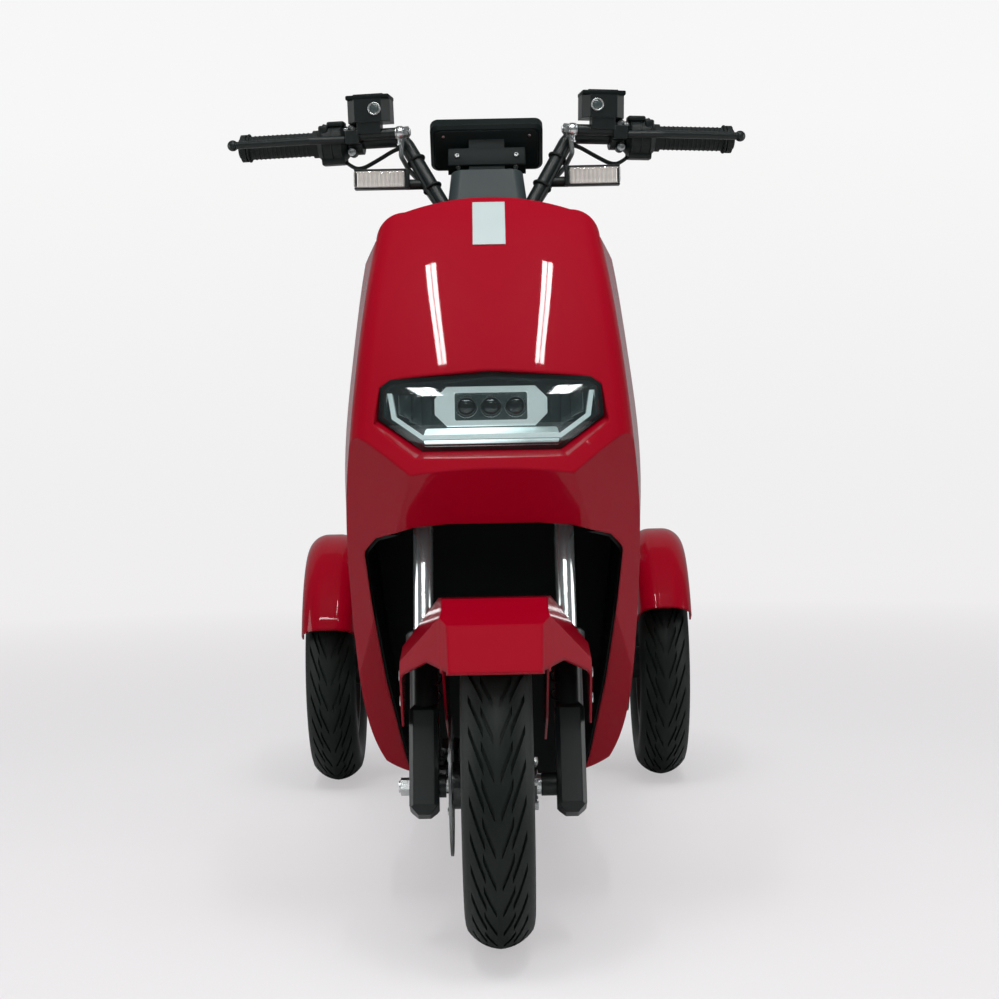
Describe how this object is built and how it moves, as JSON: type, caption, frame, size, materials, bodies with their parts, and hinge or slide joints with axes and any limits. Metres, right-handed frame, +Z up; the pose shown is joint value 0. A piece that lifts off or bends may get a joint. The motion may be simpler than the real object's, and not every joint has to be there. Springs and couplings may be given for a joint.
{
  "type": "electric three-wheeled scooter",
  "caption": "Narrow electric scooter with one steered front wheel, two rear wheels, leg shield, floorboard, lidded seat box and rear rail.",
  "frame": {"origin": "on the ground, in the middle of the vehicle's length and width", "axes": "+Z up, -Y towards the front, +X towards the rider's left"},
  "size_m": [0.7546, 1.76, 1.1487],
  "materials": {
    "red_paint": "glossy deep red paint",
    "black_plastic": "black moulded plastic",
    "black_metal": "black powder coat",
    "chrome": "polished",
    "steel": "ground steel",
    "cast_alloy": "cast and painted silver",
    "tyre": "worn black rubber",
    "rubber": "moulded black rubber",
    "clear_lens": "clear cover",
    "red_lens": "red moulded lens",
    "white_lens": "opal light guide",
    "black_cover": "black grained covering"
  },
  "bodies": {
    "chassis": {"front_shield": "red_paint", "knee_panel": "black_plastic", "wheel_arch_liner": "black_plastic", "headlamp_bowl": "black_plastic", "headlamp_module": "chrome", "running_light": "white_lens", "headlamp_cover": "clear_lens", "floorboard": "black_plastic", "floor_mat": "rubber", "side_skirts": "red_paint", "battery_case": "black_metal", "main_frame": "black_metal", "tail_body": "red_paint", "storage_tub": "black_plastic", "seat_hinge": "steel", "grab_rail": "black_metal", "tail_lamp": "red_lens", "plate_bracket": "black_plastic", "rear_axle": "black_metal", "drive_motor": "cast_alloy", "rear_shocks": "black_metal", "rear_calipers": "black_metal", "rear_mudguard_right": "red_paint", "rear_mudguard_left": "red_paint"},
    "steering": {"fork_stem": "black_metal", "fork_tubes": "chrome", "lower_legs": "black_metal", "front_axle": "steel", "front_mudguard": "red_paint", "front_caliper": "black_metal", "handlebar": "black_metal", "grips": "rubber", "switch_housings": "black_plastic", "master_cylinders": "black_metal", "brake_levers": "black_metal", "brake_hoses": "rubber", "column_cover": "black_plastic", "display": "black_plastic", "display_bracket": "black_metal", "turn_signals": "white_lens"},
    "front_wheel": {"front_tyre": "tyre", "front_rim": "cast_alloy", "front_disc": "steel"},
    "rear_wheel_right": {"rear_tyre_right": "tyre", "rear_rim_right": "cast_alloy", "rear_disc_right": "steel"},
    "rear_wheel_left": {"rear_tyre_left": "tyre", "rear_rim_left": "cast_alloy", "rear_disc_left": "steel"},
    "seat": {"seat_pan": "black_plastic", "seat_cushion": "black_cover"}
  },
  "joints": [
    {"name": "steering_turn", "type": "hinge", "parent": "chassis", "child": "steering", "pos_m": [0, -0.64438, 0.19628], "axis": [0, 0.3907, 0.9205], "range_deg": [-38, 38]},
    {"name": "front_wheel_spin", "type": "hinge", "parent": "steering", "child": "front_wheel", "pos_m": [0, -0.672, 0.208], "axis": [1, 0, 0], "continuous": true},
    {"name": "rear_wheel_right_spin", "type": "hinge", "parent": "chassis", "child": "rear_wheel_right", "pos_m": [-0.3, 0.578, 0.208], "axis": [1, 0, 0], "continuous": true},
    {"name": "rear_wheel_left_spin", "type": "hinge", "parent": "chassis", "child": "rear_wheel_left", "pos_m": [0.3, 0.578, 0.208], "axis": [1, 0, 0], "continuous": true},
    {"name": "seat_tilt", "type": "hinge", "parent": "chassis", "child": "seat", "pos_m": [0, 0.152, 0.7], "axis": [1, 0, 0], "range_deg": [0, 70]}
  ]
}
